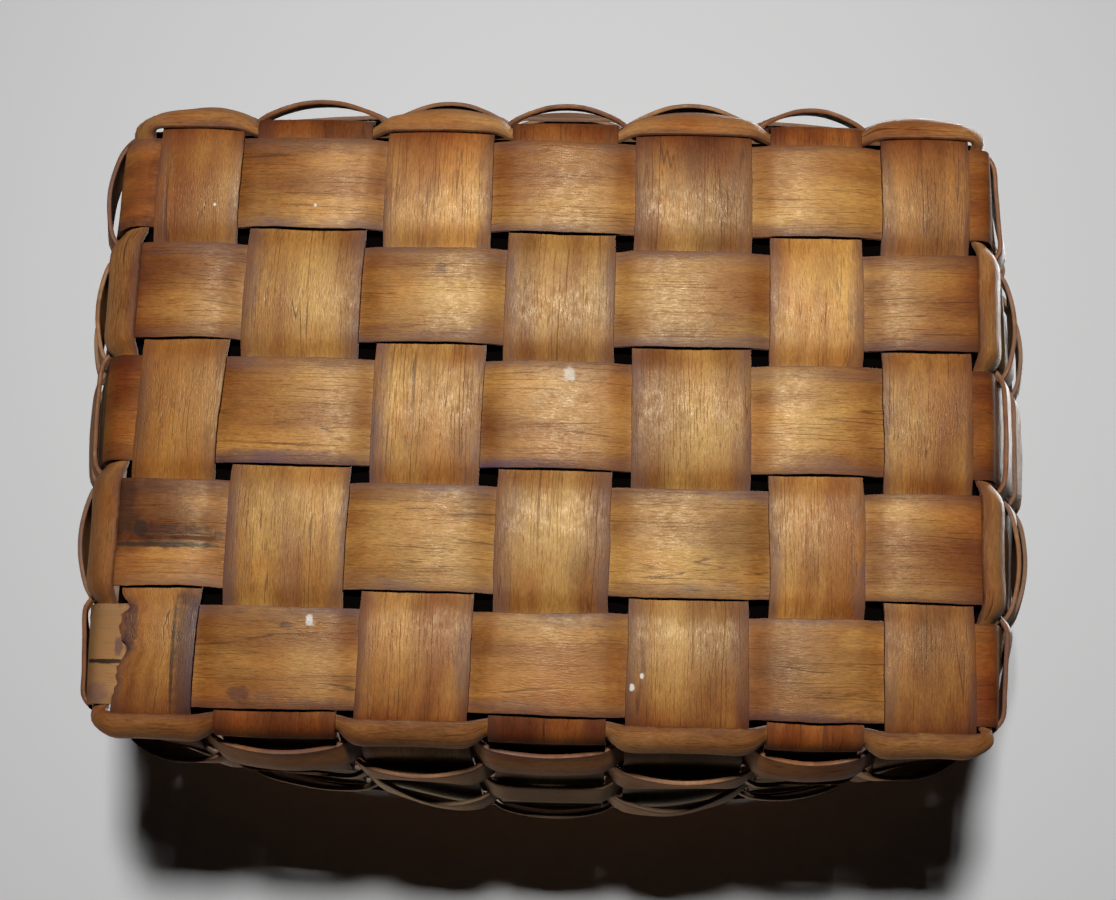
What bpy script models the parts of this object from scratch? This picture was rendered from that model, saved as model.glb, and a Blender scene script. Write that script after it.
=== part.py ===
"""Miniature splint basket, modelled piece by piece at its real size.

Units are metres and +Z is up. The basket stands on its base with its mouth up. The origin is the
middle of the underside, +X runs along the long side and +Y along the short side.

Seven short splints and five long splints cross in plain weave on the base. Each turns up at both
ends, which gives 24 uprights. Weavers go round the wall in rows, in front of every second upright
and behind the others, and two hoops bound with one thin lashing hold the upright ends at the rim.
"""
import math

import bmesh
import bpy
from mathutils import Vector

# Splints of the base, which are also the uprights of the wall
splint_thickness = 0.00045
short_splint_width = 0.0103
short_splint_width_shares = (0.85, 0.90, 1.15, 1.08, 1.06, 1.15, 0.79)
long_splint_width = 0.0101
long_splint_width_shares = (0.98, 1.05, 1.07, 0.97, 0.94)
short_splint_gap = 0.0020
long_splint_gap = 0.0019

# Clearance between any two strips that lie on each other
strip_clearance = 0.00025

# Wall, along an upright from the edge of the base to the rim
fold_radius = 0.0026
flare_lean_degrees = 20.0
flare_row_count = 4
shoulder_row_count = 2
lean_at_rim_degrees = -3.0
corner_roundness_share = 0.28
corner_roundness_rate = 1.2
upright_spread_share = 0.03

# Weavers
weaver_row_count = 8
weaver_thickness = 0.00045
weaver_width = 0.0048
weaver_row_gap = 0.0004
first_weaver_distance = 0.0013
weaver_arch = 0.00075
weaver_arch_shares = (1 / 3, 2 / 3)

# Rim
hoop_width = 0.0045
hoop_thickness = 0.0009
hoop_to_last_weaver = 0.0012
upright_trim_below_rim = 0.0003
lashing_width = 0.0016
lashing_thickness = 0.00035
lashing_corner = 0.0003
lashing_clearance = 0.0003
lashing_rise_share = 1 / 3
lashing_top_share = 1 / 2
lashing_fall_share = 2 / 3
lashing_side_share = 0.05

# Sizes that follow from the ones above
short_widths = [short_splint_width * share for share in short_splint_width_shares]
long_widths = [long_splint_width * share for share in long_splint_width_shares]
base_half_length = (sum(short_widths) + short_splint_gap * (len(short_widths) - 1)) / 2
base_half_width = (sum(long_widths) + long_splint_gap * (len(long_widths) - 1)) / 2
crossing_step = splint_thickness + strip_clearance
base_middle_height = (splint_thickness + crossing_step) / 2

weaver_row_pitch = weaver_width + weaver_row_gap
weavers_top = first_weaver_distance + weaver_row_pitch * weaver_row_count - weaver_row_gap
hoop_bottom = weavers_top + hoop_to_last_weaver
wall_length = hoop_bottom + hoop_width

flare_lean = math.radians(flare_lean_degrees)
lean_at_rim = math.radians(lean_at_rim_degrees)
fold_angle = math.pi / 2 - flare_lean
fold_length = fold_radius * fold_angle
flare_length = first_weaver_distance + weaver_row_pitch * flare_row_count - fold_length
shoulder_length = weaver_row_pitch * shoulder_row_count
shoulder_radius = shoulder_length / (flare_lean - lean_at_rim)

weaver_offset = (splint_thickness + weaver_thickness) / 2 + strip_clearance
hoop_offset = (splint_thickness + hoop_thickness) / 2 + strip_clearance
lashing_offset = hoop_offset + (hoop_thickness + lashing_thickness) / 2 + lashing_clearance


def centres_of(widths, gap):
    """Middles of strips laid side by side, with the whole set centred on zero."""
    edge = -(sum(widths) + gap * (len(widths) - 1)) / 2
    middles = []
    for width in widths:
        middles.append(edge + width / 2)
        edge += width + gap
    return middles


short_middles = centres_of(short_widths, short_splint_gap)
long_middles = centres_of(long_widths, long_splint_gap)

# Uprights in the order that a weaver meets them: kind, index and the side of the basket
UPRIGHTS = (
    [("short", index, 1) for index in reversed(range(len(short_widths)))]
    + [("long", index, -1) for index in reversed(range(len(long_widths)))]
    + [("short", index, -1) for index in range(len(short_widths))]
    + [("long", index, 1) for index in range(len(long_widths))])


def wall_profile(distance):
    """How far out from the base edge and how high the wall is, a distance up an upright.

    The upright folds up off the base, flares outwards along the first weaver rows, turns at the
    shoulder and stands almost straight from there to the rim.
    """
    turned = min(distance, fold_length) / fold_radius
    out = fold_radius * math.sin(turned)
    height = base_middle_height + fold_radius * (1 - math.cos(turned))
    straight = min(max(distance - fold_length, 0), flare_length)
    out += straight * math.sin(flare_lean)
    height += straight * math.cos(flare_lean)
    shoulder = min(max(distance - fold_length - flare_length, 0), shoulder_length)
    lean = flare_lean - shoulder / shoulder_radius
    out += shoulder_radius * (math.cos(lean) - math.cos(flare_lean))
    height += shoulder_radius * (math.sin(flare_lean) - math.sin(lean))
    rest = max(distance - fold_length - flare_length - shoulder_length, 0)
    return out + rest * math.sin(lean_at_rim), height + rest * math.cos(lean_at_rim)


def ring_at(distance):
    """Half length, half width, exponent and height of the wall's outline.

    The outline is square at the base, and its corners round off along the flare.
    """
    out, height = wall_profile(distance)
    share = min(distance / (fold_length + flare_length), 1)
    roundness = corner_roundness_share * share ** corner_roundness_rate
    return base_half_length + out, base_half_width + out, 1 / roundness, height


def upright_edges(upright, distance):
    """The two edge points of an upright's middle surface, lower coordinate first."""
    kind, index, side = upright
    half_length, half_width, exponent, height = ring_at(distance)
    if kind == "short":
        middle, half, reach, out = short_middles[index], short_widths[index] / 2, half_length, half_width
    else:
        middle, half, reach, out = long_middles[index], long_widths[index] / 2, half_width, half_length
    middle *= 1 + upright_spread_share * distance / wall_length
    low, high = [
        Vector((place, out * (1 - (abs(place) / reach) ** exponent) ** (1 / exponent)))
        for place in (middle - half, middle + half)]
    centre = (low + high) / 2
    step = (high - low).normalized() * half
    edges = []
    for flat in (centre - step, centre + step):
        if kind == "short":
            edges.append(Vector((flat.x, side * flat.y, height)))
        else:
            edges.append(Vector((side * flat.y, flat.x, height)))
    return edges


def upright_normal(upright, distance):
    """Unit vector that points out of the basket from an upright."""
    low, high = upright_edges(upright, distance)
    step = weaver_row_gap
    below = sum(upright_edges(upright, distance - step), Vector((0, 0, 0)))
    above = sum(upright_edges(upright, distance + step), Vector((0, 0, 0)))
    normal = (high - low).cross(above - below).normalized()
    outward = Vector((low.x + high.x, low.y + high.y, 0))
    return normal if normal.dot(outward) > 0 else -normal


def level_outward(upright, distance):
    """Unit vector that points level and straight out from an upright."""
    normal = upright_normal(upright, distance)
    return Vector((normal.x, normal.y, 0)).normalized()


def on_upright(upright, share, offset, distance):
    """A point beside an upright: share 0 is the edge that a weaver meets first."""
    kind, _, side = upright
    low, high = upright_edges(upright, distance)
    forward = (kind == "short") == (side < 0)
    first, last = (low, high) if forward else (high, low)
    return first.lerp(last, share) + upright_normal(upright, distance) * offset


def between_uprights(upright, following, offset, distance):
    """A point in the gap between two uprights, on the wall's outline where the offset is zero."""
    half_length, half_width, exponent, height = ring_at(distance)
    middle = (on_upright(upright, 1, 0, distance) + on_upright(following, 0, 0, distance)) / 2
    along, across = abs(middle.x / half_length), abs(middle.y / half_width)
    reach = (along ** exponent + across ** exponent) ** (1 / exponent)
    normal = (upright_normal(upright, distance) + upright_normal(following, distance)).normalized()
    return Vector((middle.x / reach, middle.y / reach, height)) + normal * offset


def wood(name, colour):
    """A plain varnished wood material."""
    material = bpy.data.materials.new(name + "_wood")
    material.use_nodes = True
    shader = material.node_tree.nodes["Principled BSDF"]
    shader.inputs["Base Color"].default_value = (*colour, 1)
    shader.inputs["Roughness"].default_value = 0.45
    shader.inputs["Metallic"].default_value = 0
    return material


def strip(name, stations, thickness, colour, closed=False):
    """One strip of wood: a ribbon through the stations, thickened evenly to both sides."""
    mesh = bpy.data.meshes.new(name)
    form = bmesh.new()
    grid = [[form.verts.new(point) for point in station] for station in stations]
    ahead = grid[1:] + grid[:1] if closed else grid[1:]
    for here, there in zip(grid, ahead):
        for lower in range(len(here) - 1):
            form.faces.new((here[lower], there[lower], there[lower + 1], here[lower + 1]))
    bmesh.ops.recalc_face_normals(form, faces=form.faces)
    form.to_mesh(mesh)
    form.free()
    piece = bpy.data.objects.new(name, mesh)
    bpy.context.scene.collection.objects.link(piece)
    mesh.materials.append(wood(name, colour))
    body = piece.modifiers.new("Thickness", "SOLIDIFY")
    body.thickness = thickness
    body.offset = 0
    body.use_even_offset = True
    return piece


def base_stations(kind, index):
    """Stations of a splint across the base: level over each crossing, sloping in each gap."""
    if kind == "short":
        middle, half, crossed, crossed_widths = (
            short_middles[index], short_widths[index] / 2, long_middles, long_widths)
    else:
        middle, half, crossed, crossed_widths = (
            long_middles[index], long_widths[index] / 2, short_middles, short_widths)
    stations = []
    for other, (place, width) in enumerate(zip(crossed, crossed_widths)):
        short_is_under = (index + other) % 2 == 0
        under = short_is_under == (kind == "short")
        height = splint_thickness / 2 if under else splint_thickness / 2 + crossing_step
        for end in (place - width / 2, place + width / 2):
            low, high = (middle - half, end, height), (middle + half, end, height)
            if kind == "long":
                low, high = (end, middle - half, height), (end, middle + half, height)
            stations.append([Vector(low), Vector(high)])
    return stations


def upright_distances():
    """Distances up an upright where it has a station: twice a row in the flare, then once a row."""
    distances = [first_weaver_distance]
    for row in range(weaver_row_count):
        bottom = first_weaver_distance + weaver_row_pitch * row
        if row > 0:
            distances.append(bottom - weaver_row_gap / 2)
        if row < flare_row_count:
            distances.append(bottom + weaver_width / 2)
    return distances + [hoop_bottom, wall_length - upright_trim_below_rim]


def make_splint(kind, index, colour):
    """A splint from rim to rim: down one wall, across the base and up the other wall."""
    near = [upright_edges((kind, index, -1), distance) for distance in upright_distances()]
    far = [upright_edges((kind, index, 1), distance) for distance in upright_distances()]
    edges = near[::-1] + base_stations(kind, index) + far
    stations = [[low, (low + high) / 2, high] for low, high in edges]
    strip(f"{kind}_splint_{index + 1}", stations, splint_thickness, colour)


def passes_outside(upright, row):
    """Whether the weaver of a row, counted from 0, goes in front of an upright."""
    kind, index, _ = upright
    return (index + row) % 2 == (0 if kind == "short" else 1)


def make_weaver(row, colour):
    """One closed round of weaver, in front of every second upright and behind the others."""
    bottom = first_weaver_distance + weaver_row_pitch * row
    distances = [bottom, bottom + weaver_width]
    if row < flare_row_count:
        distances.insert(1, bottom + weaver_width / 2)
    in_front = [(0, 0)] + [(share, weaver_arch) for share in weaver_arch_shares] + [(1, 0)]
    behind = [(0, 0), (1 / 2, 0), (1, 0)]
    stations = []
    for upright, following in zip(UPRIGHTS, UPRIGHTS[1:] + UPRIGHTS[:1]):
        outside = passes_outside(upright, row)
        offset = weaver_offset if outside else -weaver_offset
        for share, arch in in_front if outside else behind:
            lift = level_outward(upright, distances[-1]) * arch
            stations.append([on_upright(upright, share, offset, distance) + lift for distance in distances])
        stations.append([between_uprights(upright, following, 0, distance) for distance in distances])
    strip(f"weaver_row_{row + 1}", stations, weaver_thickness, colour, closed=True)


def make_hoop(name, offset, colour):
    """A rim hoop that lies along all the uprights, inside or outside them."""
    distances = (hoop_bottom, wall_length)
    stations = []
    for upright, following in zip(UPRIGHTS, UPRIGHTS[1:] + UPRIGHTS[:1]):
        for share in (0, 1):
            stations.append([on_upright(upright, share, offset, distance) for distance in distances])
        stations.append([between_uprights(upright, following, offset, distance) for distance in distances])
    strip(name, stations, hoop_thickness, colour, closed=True)


def along_rim(turn, share, offset, distance):
    """A point beside the rim, a share of the way from one gap between uprights to the next."""
    before, upright, after = (
        UPRIGHTS[(turn + step) % len(UPRIGHTS)] for step in (0, 1, 2))
    stops = (
        between_uprights(before, upright, offset, distance),
        on_upright(upright, 0, offset, distance),
        on_upright(upright, 1, offset, distance),
        between_uprights(upright, after, offset, distance))
    place = share * (len(stops) - 1)
    step = min(int(place), len(stops) - 2)
    return stops[step].lerp(stops[step + 1], place - step)


def make_lashing(colour):
    """One unbroken strip wound round both hoops, a turn for each upright."""
    under = (weavers_top + hoop_bottom) / 2
    over = wall_length + lashing_clearance + lashing_thickness / 2
    flank = lashing_offset - lashing_corner
    low, middle, high = under + lashing_corner, (under + over) / 2, over - lashing_corner
    turn_shape = (
        (0, 0, under),
        (0, flank, under),
        (0, lashing_offset, low),
        (lashing_rise_share, lashing_offset, middle),
        (lashing_top_share, lashing_offset, high),
        (lashing_top_share, flank, over),
        (lashing_top_share, -flank, over),
        (lashing_top_share, -lashing_offset, high),
        (lashing_fall_share, -lashing_offset, middle),
        (1, -lashing_offset, low),
        (1, -flank, under))
    stations = []
    for turn in range(len(UPRIGHTS)):
        for share, offset, distance in turn_shape:
            place = along_rim(turn, share, offset, distance)
            before = along_rim(turn, max(share - lashing_side_share, 0), offset, distance)
            after = along_rim(turn, min(share + lashing_side_share, 1), offset, distance)
            side = (after - before).normalized() * lashing_width / 2
            stations.append([place - side, place + side])
    tucked_stations = 2
    stations = stations[:-tucked_stations]
    strip("rim_lashing", stations, lashing_thickness, colour)
    print(f"least gap between turns of the lashing: {least_gap(stations, len(turn_shape)):.5f} m")


def least_gap(stations, turn_length):
    """Least clear distance between stretches of the lashing that are most of a turn apart."""
    outline = [[low, low.lerp(high, 1 / 2), high] for low, high in stations]
    distances = [
        (first - second).length
        for place, here in enumerate(outline) for there in outline[place + turn_length - 2:]
        for first in here for second in there]
    return min(distances) - lashing_thickness


def clear_scene():
    """Start from an empty scene."""
    for old in list(bpy.data.objects):
        bpy.data.objects.remove(old, do_unlink=True)


def main():
    """Build every piece of the basket."""
    clear_scene()
    for index in range(len(short_widths)):
        make_splint("short", index, (0.40, 0.20, 0.075))
    for index in range(len(long_widths)):
        make_splint("long", index, (0.45, 0.235, 0.09))
    for row in range(weaver_row_count):
        make_weaver(row, (0.36, 0.16, 0.07))
    make_hoop("inner_rim_hoop", -hoop_offset, (0.42, 0.22, 0.09))
    make_hoop("outer_rim_hoop", hoop_offset, (0.38, 0.19, 0.08))
    make_lashing((0.47, 0.27, 0.12))


main()
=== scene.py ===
# %% [markdown]
# # A miniature splint basket
#
# The basket is woven from flat strips of ash splint. Seven short strips and five long ones cross on
# the base, turn up at both ends and become 24 uprights. Eight narrow weavers go round the wall, and
# two hoops bound with a thin lashing close the rim. The CAD model gives every strip its place, with
# few faces and a small clearance. This script lays a finer strip over each of them, with the crown,
# the worn edges and the varnish of the old wood.
#
# The basket stands mouth up here, as it is used. The photograph shows it mouth down, so the main
# camera looks up at the base from below.

import math

import bpy
import numpy as np
from mathutils import Matrix, Vector, noise


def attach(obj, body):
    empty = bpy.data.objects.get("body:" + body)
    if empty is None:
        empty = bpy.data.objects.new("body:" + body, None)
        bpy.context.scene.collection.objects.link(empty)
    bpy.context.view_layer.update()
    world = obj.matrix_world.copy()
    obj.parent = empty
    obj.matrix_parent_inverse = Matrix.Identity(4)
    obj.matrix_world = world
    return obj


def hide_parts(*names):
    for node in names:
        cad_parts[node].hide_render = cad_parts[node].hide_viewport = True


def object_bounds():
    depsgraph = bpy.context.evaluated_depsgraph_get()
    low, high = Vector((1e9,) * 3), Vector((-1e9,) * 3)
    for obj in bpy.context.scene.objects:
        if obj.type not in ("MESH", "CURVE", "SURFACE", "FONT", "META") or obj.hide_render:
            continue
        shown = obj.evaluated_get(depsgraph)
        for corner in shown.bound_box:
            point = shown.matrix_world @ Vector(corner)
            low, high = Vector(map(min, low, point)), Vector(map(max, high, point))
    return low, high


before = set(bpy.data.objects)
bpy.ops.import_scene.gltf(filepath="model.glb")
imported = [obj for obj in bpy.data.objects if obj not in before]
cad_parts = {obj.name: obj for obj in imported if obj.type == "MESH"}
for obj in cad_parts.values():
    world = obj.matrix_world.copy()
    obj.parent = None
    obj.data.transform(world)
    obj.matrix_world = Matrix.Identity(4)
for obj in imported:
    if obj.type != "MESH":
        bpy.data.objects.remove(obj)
scene = bpy.context.scene
cad_low, cad_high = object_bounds()
print("CAD box in mm:", [round(edge * 1000, 1) for edge in (*cad_low, *cad_high)])

# %% [markdown]
# ## Measures of the weave
#
# Each finer strip has to lie where its CAD strip lies, so the widths, gaps and wall curve are the
# numbers of the CAD source. They could be measured from its meshes, but those only have a few points.

# %% Measures of the base
mm = 0.001
strip_thickness = 0.45 * mm
short_widths = [10.3 * mm * share for share in (0.85, 0.90, 1.15, 1.08, 1.06, 1.15, 0.79)]
long_widths = [10.1 * mm * share for share in (0.98, 1.05, 1.07, 0.97, 0.94)]
short_gap, long_gap = 2.0 * mm, 1.9 * mm
clearance = 0.25 * mm
base_half_length = (sum(short_widths) + short_gap * 6) / 2
base_half_width = (sum(long_widths) + long_gap * 4) / 2
base_middle_height = strip_thickness + clearance / 2


def centres_of(widths, gap):
    """Middles of strips laid side by side, with the whole set centred on zero."""
    edge = -(sum(widths) + gap * (len(widths) - 1)) / 2
    middles = []
    for width in widths:
        middles.append(edge + width / 2)
        edge += width + gap
    return middles


short_middles = centres_of(short_widths, short_gap)
long_middles = centres_of(long_widths, long_gap)
print(f"base {base_half_length * 2000:.1f} by {base_half_width * 2000:.1f} mm")

# %% Measures of the wall and rim
fold_radius = 2.6 * mm
rim_squareness = 0.28  # one over the outline's exponent at the shoulder and above it
flare_lean, lean_at_rim = math.radians(20), math.radians(-3)
weaver_rows, weaver_width, row_pitch, first_weaver = 8, 4.8 * mm, 5.2 * mm, 1.3 * mm
fold_length = fold_radius * (math.pi / 2 - flare_lean)
flare_length = first_weaver + row_pitch * 4 - fold_length
shoulder_length = row_pitch * 2
shoulder_radius = shoulder_length / (flare_lean - lean_at_rim)
weavers_top = first_weaver + row_pitch * weaver_rows - 0.4 * mm
hoop_width, hoop_thickness = 4.5 * mm, 0.9 * mm
hoop_bottom = weavers_top + 1.2 * mm
wall_length = hoop_bottom + hoop_width
weaver_offset = strip_thickness + clearance
hoop_offset = (strip_thickness + hoop_thickness) / 2 + clearance
print(f"wall {wall_length * 1000:.1f} mm from the base edge to the rim")

UPRIGHTS = (
    [("short", index, 1) for index in reversed(range(7))]
    + [("long", index, -1) for index in reversed(range(5))]
    + [("short", index, -1) for index in range(7)]
    + [("long", index, 1) for index in range(5)])
UPRIGHT_PAIRS = list(zip(UPRIGHTS, UPRIGHTS[1:] + UPRIGHTS[:1]))  # each with the next one round the wall
print(len(UPRIGHTS), "uprights")

# %% [markdown]
# ## The curve of the wall
#
# A strip leaves the base, folds up within a few millimetres, flares outwards, turns at the shoulder
# and stands nearly straight up to the rim. Seen from above, the base is square-cornered and the rim
# is a rounded rectangle. A superellipse gives both with one formula: its exponent falls from very
# high, which is a rectangle, to about three and a half at the shoulder.

# %% Profile and outline of the wall
def wall_profile(distance):
    """How far out from the base edge and how high the wall is, a distance up an upright."""
    turned = min(distance, fold_length) / fold_radius
    out = fold_radius * math.sin(turned)
    height = base_middle_height + fold_radius * (1 - math.cos(turned))
    straight = min(max(distance - fold_length, 0), flare_length)
    out += straight * math.sin(flare_lean)
    height += straight * math.cos(flare_lean)
    shoulder = min(max(distance - fold_length - flare_length, 0), shoulder_length)
    lean = flare_lean - shoulder / shoulder_radius
    out += shoulder_radius * (math.cos(lean) - math.cos(flare_lean))
    height += shoulder_radius * (math.sin(flare_lean) - math.sin(lean))
    rest = max(distance - fold_length - flare_length - shoulder_length, 0)
    return out + rest * math.sin(lean_at_rim), height + rest * math.cos(lean_at_rim)


def ring_at(distance):
    """Half length, half width, exponent and height of the wall's outline."""
    out, height = wall_profile(distance)
    share = min(distance / (fold_length + flare_length), 1)
    exponent = 1 / (rim_squareness * max(share, 1e-4) ** 1.2)
    return base_half_length + out, base_half_width + out, exponent, height


print("the rim is out and up by", [round(place / mm, 1) for place in wall_profile(wall_length)], "mm")


# %% Edges and normal of an upright
def upright_edges(upright, distance):
    """The two edge points of an upright's middle surface, lower coordinate first."""
    kind, index, side = upright
    half_length, half_width, exponent, height = ring_at(distance)
    if kind == "short":
        middle, half, reach, out = short_middles[index], short_widths[index] / 2, half_length, half_width
    else:
        middle, half, reach, out = long_middles[index], long_widths[index] / 2, half_width, half_length
    middle *= 1 + 0.03 * distance / wall_length
    low, high = [
        Vector((place, out * (1 - (abs(place) / reach) ** exponent) ** (1 / exponent)))
        for place in (middle - half, middle + half)]
    centre, step = (low + high) / 2, (high - low).normalized() * half
    return [
        Vector((flat.x, side * flat.y, height) if kind == "short" else (side * flat.y, flat.x, height))
        for flat in (centre - step, centre + step)]


def upright_normal(upright, distance):
    """Unit vector that points out of the basket from an upright."""
    low, high = upright_edges(upright, distance)
    below = sum(upright_edges(upright, distance - 0.4 * mm), Vector((0, 0, 0)))
    above = sum(upright_edges(upright, distance + 0.4 * mm), Vector((0, 0, 0)))
    normal = (high - low).cross(above - below).normalized()
    return normal if normal.dot(Vector((low.x + high.x, low.y + high.y, 0))) > 0 else -normal


# %% Places beside the uprights
def on_upright(upright, share, offset, distance):
    """A point beside an upright: share 0 is the edge that a weaver meets first."""
    kind, _, side = upright
    low, high = upright_edges(upright, distance)
    first, last = (low, high) if (kind == "short") == (side < 0) else (high, low)
    return first.lerp(last, share) + upright_normal(upright, distance) * offset


def between_uprights(upright, following, offset, distance):
    """A point in the gap between two uprights, on the wall's outline where the offset is zero."""
    half_length, half_width, exponent, height = ring_at(distance)
    middle = (on_upright(upright, 1, 0, distance) + on_upright(following, 0, 0, distance)) / 2
    along, across = abs(middle.x / half_length), abs(middle.y / half_width)
    reach = (along ** exponent + across ** exponent) ** (1 / exponent)
    normal = (upright_normal(upright, distance) + upright_normal(following, distance)).normalized()
    return Vector((middle.x / reach, middle.y / reach, height)) + normal * offset

# %% [markdown]
# ## An old basket isn't true
#
# The photograph shows walls that have moved by about a millimetre: the long wall in front has sunk in
# at both sides of its middle, the left one leans out, and half of the base has racked a little out of
# square. Splints and weavers move together there, so all three are one small shift that every strip
# passes through.

# %% Racked base, sunken wall and leaning wall
def smooth_step(value):
    """0 below 0, 1 above 1 and an even S-curve between."""
    value = min(max(value, 0), 1)
    return value * value * (3 - 2 * value)


def out_of_true(point):
    """A point of the basket after the small shifts, whose numbers are in millimetres."""
    x, y, z = point
    x -= 0.020 * y * smooth_step((x / mm + 12) / 26) * (1 - smooth_step((z / mm - 3) / 16))
    sunk = 0.8 * smooth_step((z / mm - 2.5) / 2.5) - 0.5 * smooth_step((z / mm - 5.5) / 2.5)
    corner = smooth_step((abs(x) / mm - 27) / 9) * (0.5 if x > 0 else 0.25)
    sunk += 1.4 * smooth_step((abs(x / mm + 2) - 10) / 11) * (1 - corner) * smooth_step((z / mm - 12) / 8)
    y += sunk * mm * smooth_step((-y / mm - 25) / 6)
    lean = 1.3 * smooth_step((z / mm - 0.7) / 3) - 0.4 * smooth_step((z / mm - 6) / 10)
    lean *= 0.72 + 0.28 * min(max(y / mm / 25, -1), 1)
    return (x + lean * mm * smooth_step((x / mm - 39) / 3.5), y, z)

# %% [markdown]
# ## How one strip is made
#
# A splint is a long thin board with slightly rounded edges. It could be a curve with a bevel, but a
# grid can bend, crown and fray differently at each point. So each strip starts as a flat grid
# primitive, whose points are then moved onto the strip's route. Solidify gives it its thickness
# and Bevel its worn edges. Two UV maps stay with it: "grain" holds the place along and across the
# wood in millimetres, and "wear" holds how near a point is to an edge and to a fold.

# %% Small helpers for strips
def pick_nothing():
    """Deselect everything, so that an operator acts only on what is picked after this."""
    if bpy.context.mode != "OBJECT":
        bpy.ops.object.mode_set(mode="OBJECT")
    bpy.ops.object.select_all(action="DESELECT")


def turn_outwards(joined=False):
    """Turn all faces of the active mesh outwards, with its two ends joined first if asked."""
    bpy.ops.object.mode_set(mode="EDIT")
    bpy.ops.mesh.select_all(action="SELECT")
    if joined:
        bpy.ops.mesh.remove_doubles(threshold=1e-6)
    bpy.ops.mesh.normals_make_consistent(inside=False)
    bpy.ops.object.mode_set(mode="OBJECT")


def take_out_torn(mesh, torn, step, line):
    """Delete the faces of a grid whose first corner a tear has taken."""
    bpy.ops.object.mode_set(mode="EDIT")
    bpy.ops.mesh.select_mode(type="FACE")
    bpy.ops.mesh.select_all(action="DESELECT")
    bpy.ops.object.mode_set(mode="OBJECT")
    for polygon in mesh.polygons:
        corners = list(polygon.vertices)
        polygon.select = bool(torn[step[corners].min(), line[corners].min()])
    bpy.ops.object.mode_set(mode="EDIT")
    bpy.ops.mesh.delete(type="FACE")
    bpy.ops.mesh.select_mode(type="VERT")
    bpy.ops.object.mode_set(mode="OBJECT")


def stand_for(piece, node):
    """Fix a finished piece to the basket's one body, in place of a CAD node."""
    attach(piece, "root")
    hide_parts(node)
    return piece


# %% Lay a strip
def lay_strip(name, surface, along, across, fold, thickness, worn_edge, closed=False, torn=None):
    """Lay a grid on the points of a surface, take torn faces out, give it thickness and worn edges."""
    steps, lines = surface.shape[:2]
    surface = np.array([[out_of_true(point) for point in row] for row in surface])
    pick_nothing()
    bpy.ops.mesh.primitive_grid_add(x_subdivisions=steps - 1, y_subdivisions=lines - 1, size=1)
    piece = bpy.context.active_object
    piece.name = piece.data.name = name
    mesh = piece.data
    flat = np.empty(len(mesh.vertices) * 3)
    mesh.vertices.foreach_get("co", flat)
    flat = flat.reshape(-1, 3)
    step = np.rint((flat[:, 0] + 0.5) * (steps - 1)).astype(int)
    line = np.rint((flat[:, 1] + 0.5) * (lines - 1)).astype(int)
    mesh.vertices.foreach_set("co", surface[step, line].reshape(-1))
    corner = np.empty(len(mesh.loops), dtype=int)
    mesh.loops.foreach_get("vertex_index", corner)
    mesh.uv_layers[0].name = "grain"
    mesh.uv_layers.new(name="wear")
    near_edge = np.abs(np.linspace(-1, 1, lines))[line]
    maps = {"grain": (along[step] / mm, across[step, line] / mm), "wear": (near_edge, fold[step])}
    for layer, values in maps.items():
        places = np.stack(values, axis=1)[corner].astype(np.float32)
        mesh.uv_layers[layer].uv.foreach_set("vector", places.reshape(-1))
    if torn is not None:
        take_out_torn(mesh, torn, step, line)
    turn_outwards(closed)
    body = piece.modifiers.new("Thickness", "SOLIDIFY")
    body.thickness, body.offset, body.use_even_offset = thickness, 0, True
    edge = piece.modifiers.new("Worn edges", "BEVEL")
    edge.width, edge.segments = worn_edge, 2
    edge.limit_method, edge.angle_limit = "ANGLE", math.radians(50)
    for modifier in ("Thickness", "Worn edges"):
        bpy.ops.object.modifier_apply(modifier=modifier)
    turn_outwards()
    bpy.ops.object.shade_smooth_by_angle(angle=math.radians(35))
    return piece


def wobble(place, seed, size):
    """A slow, repeatable unevenness along a strip, for hand-cut edges."""
    return noise.noise(Vector((place / size, seed * 7.3, 0.5)))

# %% [markdown]
# ## Base splints
#
# On the base every splint goes over one strip and under the next, and drops through the thickness of
# a strip in the gap between them. Where it lies outside, the pull of the weave bows it a little, so
# the light catches it in its middle.

# %% Height of a splint across the base
bow = 0.36 * mm
layer_step = 0.58 * mm


def crossings_of(kind, index):
    """Where a splint meets the others: middle, half width and whether it lies outside there."""
    places, widths = (long_middles, long_widths) if kind == "short" else (short_middles, short_widths)
    return [(place, width / 2, ((index + other) % 2 == 0) == (kind == "short"))
            for other, (place, width) in enumerate(zip(places, widths))]


def base_height(kind, index, place):
    """Height of the middle of a splint above the ground, a place along it."""
    outside_height, inside_height = strip_thickness / 2, strip_thickness / 2 + layer_step + bow
    crossings = crossings_of(kind, index)
    share = 0.0 if crossings[0][2] else 1.0
    for middle, half, outside in crossings[1:]:
        start = middle - half - (long_gap if kind == "short" else short_gap)
        moved = smooth_step((place - start + 0.3 * mm) / (middle - half - start + 0.6 * mm))
        share += -moved if outside else moved
    height = outside_height + (inside_height - outside_height) * share
    nearest = min(abs(place - middle) / half for middle, half, outside in crossings if outside)
    return height + bow * min(nearest, 1) ** 2 * (1 - share)


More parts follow.
